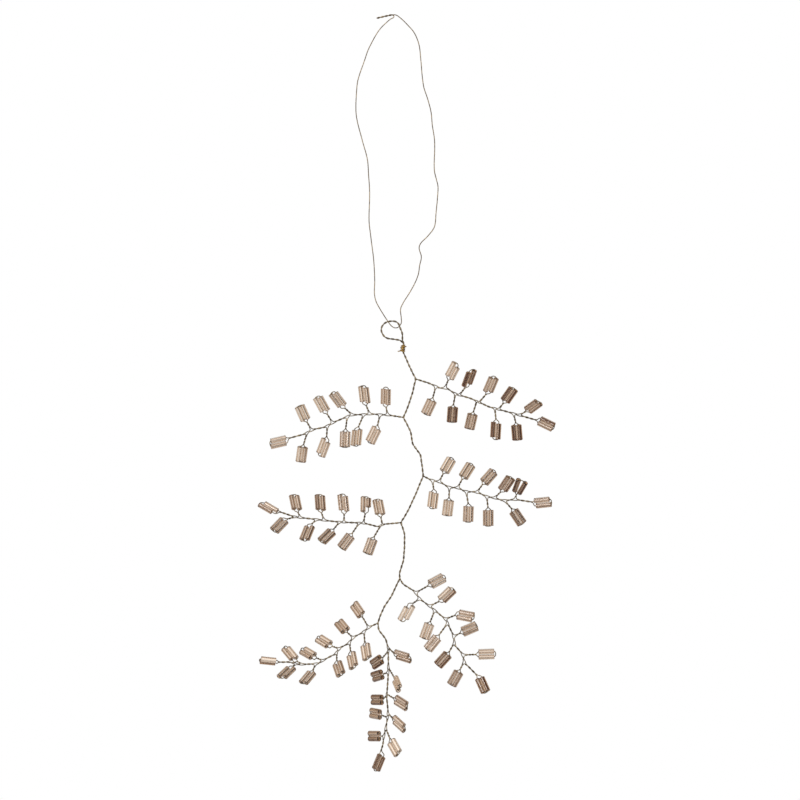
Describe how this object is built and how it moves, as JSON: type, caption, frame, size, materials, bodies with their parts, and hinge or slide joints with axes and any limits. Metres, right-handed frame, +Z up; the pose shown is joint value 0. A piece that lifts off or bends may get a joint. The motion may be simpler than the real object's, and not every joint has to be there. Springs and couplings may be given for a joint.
{
  "type": "branch ornament",
  "caption": "Hanging branch ornament: a zig-zag twisted-wire stem with side branches whose leaflets are pairs of glass bugle beads on wire hairpins, with an eye and a fine wire hanger loop.",
  "frame": {"origin": "top of the hanger loop, where it hangs on a hook or twig", "axes": "+Z up, the ornament hangs in the XZ plane with +X to the viewer's right, and its front faces -Y"},
  "size_m": [0.1224, 0.0246, 0.3108],
  "materials": {
    "twisted_wire": "antique, dark gold-brown, satin",
    "binding_wire": "brighter gold, satin",
    "hanger_wire": "fine wire, satin",
    "bead_glass": "polished champagne glass, lightly smoked"
  },
  "bodies": {
    "hanger": {"hanger_wire": "hanger_wire"},
    "stem": {"stem_wire": "twisted_wire", "eye_binding": "binding_wire"},
    "top_right_branch": {"top_right_wire": "twisted_wire", "top_right_beads_5": "bead_glass", "top_right_beads_6": "bead_glass", "top_right_beads_7": "bead_glass", "top_right_beads_8": "bead_glass", "top_right_beads_9": "bead_glass", "top_right_beads_10": "bead_glass", "top_right_beads_11": "bead_glass"},
    "top_left_branch": {"top_left_wire": "twisted_wire", "top_left_beads_5": "bead_glass", "top_left_beads_6": "bead_glass", "top_left_beads_7": "bead_glass", "top_left_beads_8": "bead_glass", "top_left_beads_9": "bead_glass", "top_left_beads_10": "bead_glass", "top_left_beads_11": "bead_glass"},
    "middle_right_branch": {"middle_right_wire": "twisted_wire", "middle_right_beads_5": "bead_glass", "middle_right_beads_6": "bead_glass", "middle_right_beads_7": "bead_glass", "middle_right_beads_8": "bead_glass", "middle_right_beads_9": "bead_glass", "middle_right_beads_10": "bead_glass", "middle_right_beads_11": "bead_glass"},
    "middle_left_branch": {"middle_left_wire": "twisted_wire", "middle_left_beads_5": "bead_glass", "middle_left_beads_6": "bead_glass", "middle_left_beads_7": "bead_glass", "middle_left_beads_8": "bead_glass", "middle_left_beads_9": "bead_glass", "middle_left_beads_10": "bead_glass", "middle_left_beads_11": "bead_glass"},
    "low_right_branch": {"low_right_wire": "twisted_wire", "low_right_beads_5": "bead_glass", "low_right_beads_6": "bead_glass", "low_right_beads_7": "bead_glass", "low_right_beads_8": "bead_glass", "low_right_beads_9": "bead_glass", "low_right_beads_10": "bead_glass", "low_right_beads_11": "bead_glass"},
    "low_left_branch": {"low_left_wire": "twisted_wire", "low_left_beads_5": "bead_glass", "low_left_beads_6": "bead_glass", "low_left_beads_7": "bead_glass", "low_left_beads_8": "bead_glass", "low_left_beads_9": "bead_glass", "low_left_beads_10": "bead_glass", "low_left_beads_11": "bead_glass"},
    "end_branch": {"end_wire": "twisted_wire", "end_beads_5": "bead_glass", "end_beads_6": "bead_glass", "end_beads_7": "bead_glass", "end_beads_8": "bead_glass", "end_beads_9": "bead_glass", "end_beads_10": "bead_glass", "end_beads_11": "bead_glass"}
  },
  "joints": [
    {"name": "ornament_swing", "type": "hinge", "parent": "hanger", "child": "stem", "pos_m": [0, 0, -0.1278], "axis": [0, 1, 0], "range_deg": [-45, 45]},
    {"name": "top_right_bend", "type": "hinge", "parent": "stem", "child": "top_right_branch", "pos_m": [0.00951, 0, -0.14902], "axis": [-0.3219, 0, -0.9468], "range_deg": [-40, 40]},
    {"name": "top_left_bend", "type": "hinge", "parent": "stem", "child": "top_left_branch", "pos_m": [0.00332, 0, -0.16449], "axis": [-0.184, 0, 0.9829], "range_deg": [-40, 40]},
    {"name": "middle_right_bend", "type": "hinge", "parent": "stem", "child": "middle_right_branch", "pos_m": [0.01256, 0, -0.18892], "axis": [-0.2279, 0, -0.9737], "range_deg": [-40, 40]},
    {"name": "middle_left_bend", "type": "hinge", "parent": "stem", "child": "middle_left_branch", "pos_m": [0.00231, 0, -0.20777], "axis": [0.093, 0, 0.9957], "range_deg": [-40, 40]},
    {"name": "low_right_bend", "type": "hinge", "parent": "stem", "child": "low_right_branch", "pos_m": [0.00289, 0, -0.23151], "axis": [-0.779, 0, -0.627], "range_deg": [-40, 40]},
    {"name": "low_left_bend", "type": "hinge", "parent": "stem", "child": "low_left_branch", "pos_m": [-0.00737, 0, -0.24927], "axis": [-0.3591, 0, 0.9333], "range_deg": [-30, 30]},
    {"name": "end_bend", "type": "hinge", "parent": "stem", "child": "end_branch", "pos_m": [-0.00653, 0, -0.24937], "axis": [-0.9998, 0, -0.02], "range_deg": [-30, 30]}
  ]
}
